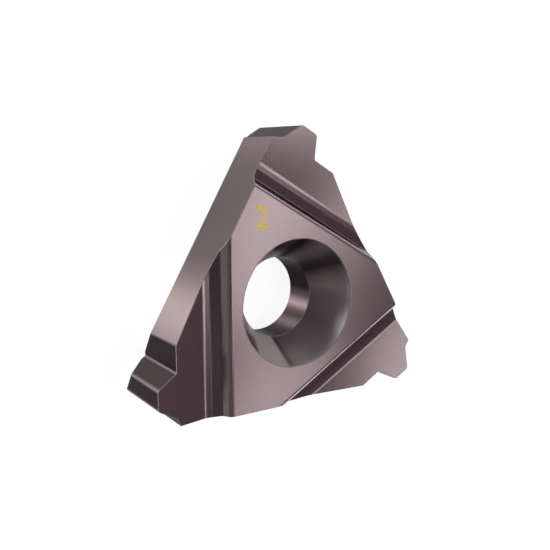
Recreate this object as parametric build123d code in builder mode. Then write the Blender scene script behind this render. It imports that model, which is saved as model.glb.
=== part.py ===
from build123d import *
from math import radians, sqrt, tan
import os

# A flat triangular insert that cuts external screw threads, lying on its seat.
# It has three equal corners, each turned 120 degrees from the next about the screw hole.
# The origin is where the axis of the hole meets the seat. Z points up through the plateau.
# One corner is described here, the one towards -X and below the X axis.
# Its tooth points along -X, and the side of the triangle that starts beside it lies along X.
# A reach is a distance from the axis of the hole towards the tooth.
# Sizes are in millimetres and angles in degrees.

# Body
inscribed_diameter = 9.525
thickness = 3.65
corner_turns = (0, 120, 240)

# Bevel round the lower edge, which clears the corner of the holder's pocket
bevel_height = 0.71
bevel_angle = 55.0

# Tooth and the lands on its two sides, seen from above
tooth_setback = 2.084
tooth_height = 0.97
thread_angle = 60.0
tip_width = 0.91
short_land_length = 0.37
short_land_angle = 22.0
root_radius = 0.13
tip_radius = 0.2
heel_radius = 0.05
shoulder_radius = 0.2

# Rake land and chip groove behind the tooth, in section
land_length = 1.485
land_slope = 11.2
floor_width = 0.3
floor_slope = 6.6
ramp_width = 0.46
ramp_slope = 15.2
wall_depth = 0.39
wall_slope = 57.0
valley_radius = 0.6
floor_radius = 0.5
wall_foot_radius = 0.12
plateau_edge_radius = 0.28

# Screw hole, with the cone for the head of the screw
bore_diameter = 3.87
cone_angle = 57.2
rim_land = 0.667
rim_radius = 0.06

# Sizes of the triangle and the tooth that follow from these
side_distance = inscribed_diameter / 2
corner_reach = sqrt(3) * side_distance
root_reach = corner_reach - tooth_setback
tip_reach = root_reach + tooth_height
flank_run = tooth_height * tan(radians(thread_angle / 2))
heel = short_land_length * tan(radians(short_land_angle))
tooth_start = -side_distance + short_land_length
tip_start = tooth_start + flank_run
tip_end = tip_start + tip_width
tooth_end = tip_end + flank_run
shoulder = -side_distance + sqrt(3) * tooth_setback

# Section of the groove, from the tooth back to the plateau
valley_reach = root_reach - land_length
floor_reach = valley_reach - floor_width
wall_foot_reach = floor_reach - ramp_width
plateau_reach = wall_foot_reach - wall_depth / tan(radians(wall_slope))
wall_foot_height = thickness - wall_depth
floor_height = wall_foot_height - ramp_width * tan(radians(ramp_slope))
valley_height = floor_height - floor_width * tan(radians(floor_slope))
land_end_height = valley_height + (corner_reach - valley_reach) * tan(radians(land_slope))

# Tools that cut past the body on every side
overcut = inscribed_diameter
bevel_run = bevel_height / tan(radians(bevel_angle))

# Outline, with the corners of the teeth rounded
corner_points = [
    (-root_reach, shoulder),
    (-root_reach, tooth_end),
    (-tip_reach, tip_end),
    (-tip_reach, tip_start),
    (-root_reach, tooth_start),
    (heel - root_reach, -side_distance),
]
corner_radii = [shoulder_radius, root_radius, tip_radius, tip_radius, root_radius, heel_radius]
outline_points = [
    Vector(x, y).rotate(Axis.Z, turn) for turn in corner_turns for x, y in corner_points
]

with BuildSketch() as outline:
    with BuildLine():
        FilletPolyline(*outline_points, radius=len(corner_turns) * corner_radii, close=True)
    make_face()

# Everything above the land, the groove and the wall of one corner
with BuildPart() as groove_tool:
    with BuildSketch(Plane.XZ):
        with BuildLine():
            FilletPolyline(
                (-plateau_reach, thickness),
                (-wall_foot_reach, wall_foot_height),
                (-floor_reach, floor_height),
                (-valley_reach, valley_height),
                (-corner_reach, land_end_height),
                (-corner_reach, land_end_height + thickness),
                (-plateau_reach, land_end_height + thickness),
                radius=[0, wall_foot_radius, floor_radius, valley_radius, 0, 0, 0],
                close=True,
            )
        make_face()
    extrude(amount=overcut, both=True)

# Wedge below the bevel of one side
with BuildPart() as bevel_tool:
    with BuildSketch(Plane.YZ):
        with BuildLine():
            Polyline(
                (-side_distance + 2 * bevel_run, -bevel_height),
                (-side_distance - bevel_run, 2 * bevel_height),
                (-side_distance - bevel_run, -bevel_height),
                close=True,
            )
        make_face()
    extrude(amount=overcut, both=True)

# The insert, pressed to its outline and then cut three ways alike
with BuildPart() as insert:
    add(outline.sketch)
    extrude(amount=thickness)
    with PolarLocations(0, len(corner_turns)):
        add(groove_tool.part, mode=Mode.SUBTRACT)
        add(bevel_tool.part, mode=Mode.SUBTRACT)
    with Locations((0, 0, thickness)):
        CounterSinkHole(
            radius=bore_diameter / 2,
            counter_sink_radius=plateau_reach - rim_land,
            counter_sink_angle=cone_angle,
        )

    # Broken edges, along the three grooves and round the cone
    plateau = insert.faces().sort_by(Axis.Z)[-1]
    groove_edges = plateau.outer_wire().edges().sort_by(SortBy.LENGTH)[-len(corner_turns):]
    rim = plateau.inner_wires()[0].edges()
    fillet(groove_edges, plateau_edge_radius)
    fillet(rim, rim_radius)

insert.part.label = "threading_insert"
os.makedirs("parts", exist_ok=True)
export_step(insert.part, "parts/threading_insert.step")
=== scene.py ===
import bpy
import bmesh
from math import atan2, cos, degrees, pi, radians, sin, tan
from mathutils import Matrix, Vector


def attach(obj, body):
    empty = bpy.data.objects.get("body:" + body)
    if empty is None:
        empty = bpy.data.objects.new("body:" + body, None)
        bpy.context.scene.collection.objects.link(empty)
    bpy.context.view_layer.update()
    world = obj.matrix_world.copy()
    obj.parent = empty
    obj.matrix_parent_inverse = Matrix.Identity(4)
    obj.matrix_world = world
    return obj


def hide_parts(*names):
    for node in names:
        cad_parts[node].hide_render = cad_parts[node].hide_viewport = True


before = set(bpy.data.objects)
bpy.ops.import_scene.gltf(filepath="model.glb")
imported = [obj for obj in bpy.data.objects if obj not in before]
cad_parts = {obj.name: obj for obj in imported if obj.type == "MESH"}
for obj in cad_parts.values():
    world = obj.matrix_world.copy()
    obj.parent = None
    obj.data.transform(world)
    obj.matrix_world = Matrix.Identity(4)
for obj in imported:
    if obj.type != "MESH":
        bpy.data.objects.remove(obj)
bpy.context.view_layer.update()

# Camera. It looks down on the insert from the side of one long edge, and is rolled so
# that the tooth on the far side stands at the top of the picture.
camera_data = bpy.data.cameras.new("camera")
camera_data.lens = 48.315
camera_data.sensor_width = 36
camera_data.clip_start = 0.001
camera_data.clip_end = 10
camera = bpy.data.objects.new("camera", camera_data)
camera.location = (-0.0189637, 0.0069618, 0.0310868)
camera.rotation_euler = (radians(-9.3396), radians(-32.7894), radians(-0.4366))
bpy.context.scene.collection.objects.link(camera)
bpy.context.scene.camera = camera

# The numeral. A plain gilt number that tells the corners apart, printed flush with the plateau.
# It is made first, because the top of the insert is filled in around it.
numeral_height = 0.0011
digit_height_per_size = 0.729
numeral_place = Vector((-0.00199, 0.00402, 0))

numeral_curve = bpy.data.curves.new("numeral", "FONT")
numeral_curve.body = "2"
numeral_curve.size = numeral_height / digit_height_per_size
numeral_curve.align_x = "CENTER"
numeral_curve.align_y = "CENTER"
numeral_curve.resolution_u = 4
numeral_text = bpy.data.objects.new("numeral", numeral_curve)
bpy.context.scene.collection.objects.link(numeral_text)
numeral_mesh = bpy.data.meshes.new_from_object(numeral_text)
bpy.data.objects.remove(numeral_text)
bpy.data.curves.remove(numeral_curve)

# The insert. One piece of sintered carbide, ground on its seat and its sides and then coated.
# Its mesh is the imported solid's own, with the screw hole turned afresh in fine steps, and with
# every sharp edge honed by a few hundredths of a millimetre, as such an insert is brushed.
hole_reach = 0.0031
hole_steps = 160
hone_width = 0.00003
hone_segments = 2
hone_angle = radians(24)
join_distance = 1e-7
flat_angle = radians(0.05)
coated, gilded = 0, 1


def in_hole(vertex):
    """Whether a vertex is nearer to the axis of the screw hole than its cone reaches."""
    return vertex.co.xy.length < hole_reach


body_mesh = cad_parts["threading_insert"].data.copy()
body_mesh.name = "insert_body"
body_mesh.materials.clear()
body = bmesh.new()
body.from_mesh(body_mesh)
bmesh.ops.remove_doubles(body, verts=body.verts, dist=join_distance)
bmesh.ops.dissolve_limit(body, angle_limit=flat_angle, verts=body.verts, edges=body.edges)

# The solid's rings of points round the hole give its profile, a radius at each height.
rings = {}
for vertex in body.verts:
    if in_hole(vertex):
        rings.setdefault(round(vertex.co.z, 6), []).append(vertex.co.xy.length)
hole_profile = [(sum(radii) / len(radii), height) for height, radii in sorted(rings.items())]
seat_height, plateau_height = hole_profile[0][1], hole_profile[-1][1]

# The hole comes out, with the seat and the plateau that it opens in, and is turned again.
hole_faces = [face for face in body.faces if any(in_hole(vertex) for vertex in face.verts)]
bmesh.ops.delete(body, geom=hole_faces, context="FACES_KEEP_BOUNDARY")
loose_rims = [
    edge for edge in body.edges if edge.is_wire and all(in_hole(vertex) for vertex in edge.verts)
]
bmesh.ops.delete(body, geom=loose_rims, context="EDGES")
profile_points = [body.verts.new((radius, 0, height)) for radius, height in hole_profile]
profile_edges = [body.edges.new(pair) for pair in zip(profile_points, profile_points[1:])]
bmesh.ops.spin(
    body,
    geom=profile_points + profile_edges,
    cent=(0, 0, 0),
    axis=(0, 0, 1),
    angle=2 * pi,
    steps=hole_steps,
    use_merge=True,
)

# The numeral is set in at the plateau's height, and the plateau and the seat are filled in.
numeral_mesh.transform(Matrix.Translation(numeral_place + Vector((0, 0, plateau_height))))
body.from_mesh(numeral_mesh)
bmesh.ops.remove_doubles(body, verts=body.verts, dist=join_distance)
for face in body.faces:
    lowest = min(vertex.co.z for vertex in face.verts)
    face.material_index = gilded if lowest > plateau_height - join_distance else coated
for height in (seat_height, plateau_height):
    open_edges = [
        edge for edge in body.edges
        if edge.is_boundary
        and all(abs(vertex.co.z - height) < join_distance for vertex in edge.verts)
    ]
    bmesh.ops.triangle_fill(body, edges=open_edges, use_beauty=True, use_dissolve=False)
bmesh.ops.dissolve_limit(
    body, angle_limit=flat_angle, verts=body.verts, edges=body.edges, delimit={"MATERIAL"}
)
bmesh.ops.recalc_face_normals(body, faces=body.faces)

# The layers hold what the coating reads, and the new faces of the honed edges have them too.
coat_with_painted_light_layer = body.loops.layers.float_color.new("coat_with_painted_light")
matt_layer = body.faces.layers.float.new("matt")
wear_and_highlight_layer = body.faces.layers.float.new("wear_and_highlight")
run_layer = body.loops.layers.float.new("side_run")
sharp_edges = [edge for edge in body.edges if edge.calc_face_angle(0) > hone_angle]
honed_faces = bmesh.ops.bevel(
    body,
    geom=sharp_edges,
    offset=hone_width,
    offset_type="OFFSET",
    affect="EDGES",
    segments=hone_segments,
    profile=0.5,
    material=-1,
    clamp_overlap=True,
)["faces"]
bmesh.ops.recalc_face_normals(body, faces=body.faces)

# Each kind of face has its own colour and mattness. The rake side is polished, the screw hole is
# left as it was pressed, and the rim is ground. Painted shade darkens the rim's colours, most of
# all between and on the teeth, and painted reflection makes the cone lighter and the bore darker.
finishes_with_painted_light = {
    "rake": ((0.310, 0.243, 0.250), 0.16),
    "cone": ((0.510, 0.475, 0.470), 0.34),
    "bore": ((0.118, 0.086, 0.091), 0.3),
    "side": ((0.560, 0.449, 0.453), 0.22),
    "flank": ((0.095, 0.070, 0.074), 0.22),
    "crest": ((0.046, 0.034, 0.036), 0.22),
    "round": ((0.220, 0.185, 0.190), 0.22),
    "seat": ((0.250, 0.205, 0.210), 0.3),
}

# They are told apart by their slopes in degrees, where 0 faces up and 180 faces down, and on
# the rim by their headings in degrees, counted afresh from corner to corner.
least_hole_slope = 20
most_cone_slope = 75
most_hole_slope = 100
most_rake_slope = 80
least_seat_slope = 150
rim_headings = (("side", 30), ("crest", 60), ("flank", 0), ("flank", 120), ("crest", 82))
heading_slack = 4
corner_turn = 120

# Round the screw hole the coating carries painted reflections, lighter and darker in sectors.
# Each pair is a turn in degrees from +X, and how many times lighter the coating is there. The
# head of the screw has rubbed one sector of the cone matt.
hole_painted_reflections = {
    "cone": (
        (-180, 0.1), (-157, 0.2), (-137, 1.9), (-102, 2.0), (-99, 0.9), (-97, 0.9), (-93, 1.5),
        (-80, 1.85), (-20, 1.45), (10, 1.45), (24, 0.85), (36, 0.2), (46, 0.35), (60, 1.1),
        (70, 1.0), (82, 0.15), (97, 0.9), (112, 0.1), (180, 0.1),
    ),
    "bore": (
        (-180, 1), (-112, 0.85), (-100, 0.5), (-82, 0.42), (-66, 0.85), (-53, 2.35), (-39, 0.8),
        (-30, 1.5), (-21, 4.9), (-8, 1.1), (5, 0.22), (50, 0.2), (75, 0.3), (110, 1), (180, 1),
    ),
}
seated_from, seated_to = -138, -100
seated_mattness = 0.75

# A side's painted reflection, lightest near one end, changes with the run, the share of the way
# along it that a point has come. Other faces have the run at which the painted reflection is full.
run_start = 0.004
run_length = 0.0099
brightest_reflection_run = 0.09

# The honed edges are lighter, partly worn and partly a painted highlight, but not round the hole,
# and the plateau's rounded edge carries the strongest painted highlight.
crown_foot = plateau_height - 0.00013
crown_slopes = (8, 56)
crown_painted_highlight = 0.8
hone_wear_and_highlight = 0.32


def slope_of(face):
    """The slope of a face, in degrees from facing straight up."""
    return degrees(face.normal.angle((0, 0, 1)))


def turn_of(point):
    """The turn of a point or a heading about the screw hole, in degrees from +X."""
    return degrees(atan2(point.y, point.x))


def kind_of(face):
    """The name of the finish that a face has, from its slope, its heading and its place."""
    slope = slope_of(face)
    within = face.calc_center_median().xy.length < hole_reach
    if within and least_hole_slope < slope < most_hole_slope:
        return "cone" if slope < most_cone_slope else "bore"
    if slope < most_rake_slope:
        return "rake"
    if slope > least_seat_slope:
        return "seat"
    heading = turn_of(face.normal) % corner_turn
    for name, middle in rim_headings:
        if abs(heading - middle) < heading_slack:
            return name
    return "round"


def painted_reflection_at(kind, point):
    """The painted reflection at a point of the hole, from the stops on its two sides."""
    turn = turn_of(point)
    stops = hole_painted_reflections[kind]
    (start, first), (end, last) = next(pair for pair in zip(stops, stops[1:]) if turn <= pair[1][0])
    return first + (last - first) * (turn - start) / (end - start)


for face in body.faces:
    kind = kind_of(face)
    coat_with_painted_light, mattness = finishes_with_painted_light[kind]
    middle = face.calc_center_median()
    seated = kind == "cone" and seated_from < turn_of(middle) < seated_to
    face[matt_layer] = seated_mattness if seated else mattness
    # The plateau's rounded edge takes a painted highlight.
    if middle.z > crown_foot and crown_slopes[0] < slope_of(face) < crown_slopes[1]:
        face[wear_and_highlight_layer] = crown_painted_highlight
    along = Vector((face.normal.y, -face.normal.x, 0)).normalized()
    for corner in face.loops:
        # The hole's corners take their painted reflection.
        light = painted_reflection_at(kind, corner.vert.co) if kind in hole_painted_reflections else 1
        corner[coat_with_painted_light_layer] = (*(light * part for part in coat_with_painted_light), 1)
        run = (corner.vert.co.dot(along) + run_start) / run_length
        corner[run_layer] = run if kind == "side" else brightest_reflection_run
# The honed edges away from the hole are lighter, partly worn and partly a painted highlight.
for face in honed_faces:
    of_hole = face.calc_center_median().xy.length <= hole_reach
    face[wear_and_highlight_layer] = 0 if of_hole else hone_wear_and_highlight
for face in body.faces:
    face.smooth = True

# Broad faces stay flat up to their honed edges, and only the narrow strips between them turn.
# A corner's normal leans to the broadest of the faces that meet there.
rounding_angle = radians(50)
breadth_power = 3

corner_normals = []
for face in body.faces:
    for vertex in face.verts:
        near = [
            other for other in vertex.link_faces
            if other.normal.angle(face.normal, 0) < rounding_angle
        ]
        broadest = max(other.calc_area() for other in near)
        lean = Vector()
        for other in near:
            lean += other.normal * (other.calc_area() / broadest) ** breadth_power
        corner_normals.append(lean.normalized())
body.to_mesh(body_mesh)
body.free()
body_mesh.normals_split_custom_set(corner_normals)
insert = bpy.data.objects.new("insert_body", body_mesh)
bpy.context.scene.collection.objects.link(insert)

# The coating, a thin and glossy violet-brown film. It clouds a little from place to place, is
# ground in fine upright lines round the rim, and is lighter along the honed edges, partly rubbed
# and partly a painted highlight, most of all on the plateau's rounded edge.
edge_tint = (0.5, 0.5, 0.5, 1)
wear_and_highlight_color = (0.56, 0.5, 0.5, 1)

# Clouds of about 3 mm, and lines 0.07 mm apart that are drawn out upright.
cloud_scale = 330
cloud_detail = 4
least_cloud, most_cloud = 0.93, 1.07
line_scale = 14000
line_detail = 3
line_stretch = 0.03
line_mattness = 0.05
line_strength = 0.08
line_depth = 0.000001

# Each stop of a side's painted reflection is a run, and how light the coating is there.
side_reflection_ends = ((0, 0.7), (1, 0.5))
side_painted_reflection = ((brightest_reflection_run, 1), (0.19, 0.95), (0.29, 0.5), (0.4, 0.31), (0.85, 0.29))

coating = bpy.data.materials.new("coated_carbide")
coating.use_nodes = True
nodes = coating.node_tree.nodes
links = coating.node_tree.links
shader = nodes["Principled BSDF"]
shader.inputs["Metallic"].default_value = 1
shader.inputs["Specular Tint"].default_value = edge_tint


def attribute(name):
    """A reader of one of the values that are kept on the insert's faces."""
    reader = nodes.new("ShaderNodeAttribute")
    reader.attribute_name = name
    return reader


place = nodes.new("ShaderNodeTexCoord").outputs["Object"]
clouds = nodes.new("ShaderNodeTexNoise")
clouds.inputs["Scale"].default_value = cloud_scale
clouds.inputs["Detail"].default_value = cloud_detail
links.new(place, clouds.inputs["Vector"])
upright = nodes.new("ShaderNodeMapping")
upright.inputs["Scale"].default_value = (1, 1, line_stretch)
links.new(place, upright.inputs["Vector"])
lines = nodes.new("ShaderNodeTexNoise")
lines.inputs["Scale"].default_value = line_scale
lines.inputs["Detail"].default_value = line_detail
links.new(upright.outputs["Vector"], lines.inputs["Vector"])

# The sides' painted reflection, read along each side's run.
side_reflection_ramp = nodes.new("ShaderNodeValToRGB")
links.new(attribute("side_run").outputs["Fac"], side_reflection_ramp.inputs["Fac"])
side_reflection_ramp.color_ramp.interpolation = "B_SPLINE"
reflection_stops = side_reflection_ramp.color_ramp.elements
for stop, (run, level) in zip(reflection_stops, side_reflection_ends):
    stop.position, stop.color = run, (level, level, level, 1)
for run, level in side_painted_reflection:
    reflection_stops.new(run).color = (level, level, level, 1)

clouded = nodes.new("ShaderNodeMapRange")
clouded.inputs["To Min"].default_value = least_cloud
clouded.inputs["To Max"].default_value = most_cloud
links.new(clouds.outputs["Fac"], clouded.inputs["Value"])
tint = nodes.new("ShaderNodeVectorMath")
tint.operation = "MULTIPLY"
links.new(attribute("coat_with_painted_light").outputs["Color"], tint.inputs[0])
links.new(side_reflection_ramp.outputs["Color"], tint.inputs[1])
shade = nodes.new("ShaderNodeVectorMath")
shade.operation = "SCALE"
links.new(tint.outputs[0], shade.inputs[0])
links.new(clouded.outputs["Result"], shade.inputs["Scale"])
# Wear and painted highlight mix a lighter colour into the edges.
wear_and_highlight_mix = nodes.new("ShaderNodeMix")
wear_and_highlight_mix.data_type = "RGBA"
wear_and_highlight_mix.inputs["B"].default_value = wear_and_highlight_color
links.new(attribute("wear_and_highlight").outputs["Fac"], wear_and_highlight_mix.inputs["Factor"])
links.new(shade.outputs[0], wear_and_highlight_mix.inputs["A"])
links.new(wear_and_highlight_mix.outputs["Result"], shader.inputs["Base Color"])

roughness = nodes.new("ShaderNodeMath")
roughness.operation = "MULTIPLY_ADD"
roughness.inputs[1].default_value = line_mattness
links.new(lines.outputs["Fac"], roughness.inputs[0])
links.new(attribute("matt").outputs["Fac"], roughness.inputs[2])
links.new(roughness.outputs[0], shader.inputs["Roughness"])
grain = nodes.new("ShaderNodeBump")
grain.inputs["Strength"].default_value = line_strength
grain.inputs["Distance"].default_value = line_depth
links.new(lines.outputs["Fac"], grain.inputs["Height"])
links.new(grain.outputs["Normal"], shader.inputs["Normal"])

# The gilding of the numeral, a smooth and slightly greenish gold.
gilt = bpy.data.materials.new("gilt_numeral")
gilt.use_nodes = True
gilt_shader = gilt.node_tree.nodes["Principled BSDF"]
gilt_shader.inputs["Base Color"].default_value = (0.62, 0.5, 0.07, 1)
gilt_shader.inputs["Metallic"].default_value = 1
gilt_shader.inputs["Roughness"].default_value = 0.3

body_mesh.materials.append(coating)
body_mesh.materials.append(gilt)
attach(insert, "root")
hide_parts("threading_insert")

# Floor. A matt white board, which shows as white and keeps the soft shadow of the insert. The
# insert is sunk into it by a hundredth of a millimetre, so that a look from below meets the seat.
board_reach = 2
board_color = (0.7, 0.7, 0.7, 1)
board_glow = 0.9
sink = 0.00001

floor_mesh = bpy.data.meshes.new("floor")
floor_form = bmesh.new()
bmesh.ops.create_grid(floor_form, x_segments=1, y_segments=1, size=board_reach)
bmesh.ops.translate(floor_form, verts=floor_form.verts, vec=(0, 0, sink))
floor_form.to_mesh(floor_mesh)
floor_form.free()
floor = bpy.data.objects.new("floor", floor_mesh)
bpy.context.scene.collection.objects.link(floor)
floor_paint = bpy.data.materials.new("floor_paint")
floor_paint.use_nodes = True
floor_mesh.materials.append(floor_paint)
floor_nodes = floor_paint.node_tree.nodes
floor_links = floor_paint.node_tree.links
floor_nodes.clear()

# The board shows white to the camera, and in metal and glass, but its glow lights nothing else.
rays = floor_nodes.new("ShaderNodeLightPath")
seen = rays.outputs["Is Camera Ray"]
for ray in ("Is Glossy Ray", "Is Transmission Ray"):
    either = floor_nodes.new("ShaderNodeMath")
    either.operation = "MAXIMUM"
    floor_links.new(seen, either.inputs[0])
    floor_links.new(rays.outputs[ray], either.inputs[1])
    seen = either.outputs[0]
board = floor_nodes.new("ShaderNodeBsdfDiffuse")
board.inputs["Color"].default_value = board_color
glow = floor_nodes.new("ShaderNodeEmission")
glow.inputs["Strength"].default_value = board_glow
nothing = floor_nodes.new("ShaderNodeEmission")
nothing.inputs["Strength"].default_value = 0
glow_or_not = floor_nodes.new("ShaderNodeMixShader")
both = floor_nodes.new("ShaderNodeAddShader")
surface = floor_nodes.new("ShaderNodeOutputMaterial")
floor_links.new(seen, glow_or_not.inputs[0])
floor_links.new(nothing.outputs[0], glow_or_not.inputs[1])
floor_links.new(glow.outputs[0], glow_or_not.inputs[2])
floor_links.new(board.outputs[0], both.inputs[0])
floor_links.new(glow_or_not.outputs[0], both.inputs[1])
floor_links.new(both.outputs[0], surface.inputs["Surface"])

# Light. A studio whose violet-grey wall is white where it meets the floor, with soft glows where
# sheets of diffuser stand and hang, and with two lamps. The camera sees plain white above the
# floor. The metal sees the white floor and the wall's foot, and the wall and the glows above.
backdrop_color = (1, 1, 1, 1)

# The wall's stops are heights on a sphere of radius 1 round the insert, and colours.
wall_foot, wall_top = (0.03, (0.95, 0.95, 0.95, 1)), (0.95, (0.110, 0.083, 0.096, 1))
wall_between = ((0.06, (0.066, 0.050, 0.058, 1)), (0.65, (0.192, 0.145, 0.168, 1)))

# Each glow is a name, its turn and height in degrees, its half width and half height on the
# same sphere, the share of them that is fully bright, and its brightness.
glows = (
    ("right", -33.4, 52.6, 0.175, 0.075, 0.36, 2.0),
    ("over", 0.6, 52.4, 0.262, 0.063, 0.42, 1.4),
    ("high", -29.2, 66.2, 0.072, 0.12, 0.66, 2.8),
    ("top", -74, 73, 0.074, 0.085, 0.4, 1.0),
    ("left", 110, 30, 0.365, 0.127, 0.38, 0.96),
    ("front", 168, 31, 0.34, 0.24, 0.41, 0.4),
    ("low_front", -163, 5, 0.3, 0.12, 0.3, 0.2),
    ("low_right", -31.4, 2, 0.468, 0.17, 0.6, 2.74),
    ("beyond", 27, 19.8, 0.23, 0.2, 0.14, 0.65),
)

# A sheet is so deep along the line to it that only the way across it counts.
sheet_depth = 10
lamp_distance = 0.35

world = bpy.data.worlds.new("studio")
bpy.context.scene.world = world
world.use_nodes = True
world_nodes = world.node_tree.nodes
world_links = world.node_tree.links
outwards = world_nodes.new("ShaderNodeTexCoord").outputs["Generated"]
heights = world_nodes.new("ShaderNodeSeparateXYZ")
world_links.new(outwards, heights.inputs[0])
wall = world_nodes.new("ShaderNodeValToRGB")
world_links.new(heights.outputs["Z"], wall.inputs["Fac"])
wall_stops = wall.color_ramp.elements
wall_stops[0].position, wall_stops[0].color = wall_foot
wall_stops[1].position, wall_stops[1].color = wall_top
for height, color in wall_between:
    wall_stops.new(height).color = color
level = wall.outputs["Color"]

for name, turn, height, half_width, half_height, core, brightness in glows:
    sheet = world_nodes.new("ShaderNodeMapping")
    sheet.label = name
    sheet.vector_type = "TEXTURE"
    facing = Matrix.Rotation(radians(turn), 3, "Z") @ Matrix.Rotation(radians(-height), 3, "Y")
    sheet.inputs["Location"].default_value = facing @ Vector((1, 0, 0))
    sheet.inputs["Rotation"].default_value = facing.to_euler()
    sheet.inputs["Scale"].default_value = (sheet_depth, half_width, half_height)
    world_links.new(outwards, sheet.inputs["Vector"])
    distance = world_nodes.new("ShaderNodeVectorMath")
    distance.operation = "LENGTH"
    world_links.new(sheet.outputs["Vector"], distance.inputs[0])
    glow_level = world_nodes.new("ShaderNodeMapRange")
    glow_level.interpolation_type = "SMOOTHSTEP"
    glow_level.inputs["From Min"].default_value = core
    glow_level.inputs["To Min"].default_value = brightness
    glow_level.inputs["To Max"].default_value = 0
    world_links.new(distance.outputs["Value"], glow_level.inputs["Value"])
    total = world_nodes.new("ShaderNodeVectorMath")
    world_links.new(level, total.inputs[0])
    world_links.new(glow_level.outputs["Result"], total.inputs[1])
    level = total.outputs[0]
world_links.new(level, world_nodes["Background"].inputs["Color"])
backdrop = world_nodes.new("ShaderNodeBackground")
backdrop.inputs["Color"].default_value = backdrop_color
watcher = world_nodes.new("ShaderNodeLightPath")
wall_or_backdrop = world_nodes.new("ShaderNodeMixShader")
world_links.new(watcher.outputs["Is Camera Ray"], wall_or_backdrop.inputs[0])
world_links.new(world_nodes["Background"].outputs[0], wall_or_backdrop.inputs[1])
world_links.new(backdrop.outputs[0], wall_or_backdrop.inputs[2])
world_links.new(wall_or_backdrop.outputs[0], world_nodes["World Output"].inputs["Surface"])


def lamp(name, turn, height, across, high, radiance):
    """An oval soft light that faces the insert. Its angles are in degrees as seen from there."""
    light = bpy.data.lights.new(name, "AREA")
    light.shape = "ELLIPSE"
    light.size = 2 * lamp_distance * tan(radians(across / 2))
    light.size_y = 2 * lamp_distance * tan(radians(high / 2))
    area = pi / 4 * light.size * light.size_y
    light.energy = pi * radiance * area
    softbox = bpy.data.objects.new(name, light)
    softbox.location = Vector((
        lamp_distance * cos(radians(height)) * cos(radians(turn)),
        lamp_distance * cos(radians(height)) * sin(radians(turn)),
        lamp_distance * sin(radians(height)),
    ))
    softbox.rotation_euler = softbox.location.to_track_quat("Z", "Y").to_euler()
    softbox.visible_camera = False
    bpy.context.scene.collection.objects.link(softbox)


lamp("strip_light", -8.7, 58.7, 18, 7.3, 2.0)
lamp("back_light", 54, 18.6, 50, 23.6, 1.04)
bpy.context.scene.view_settings.view_transform = "Standard"
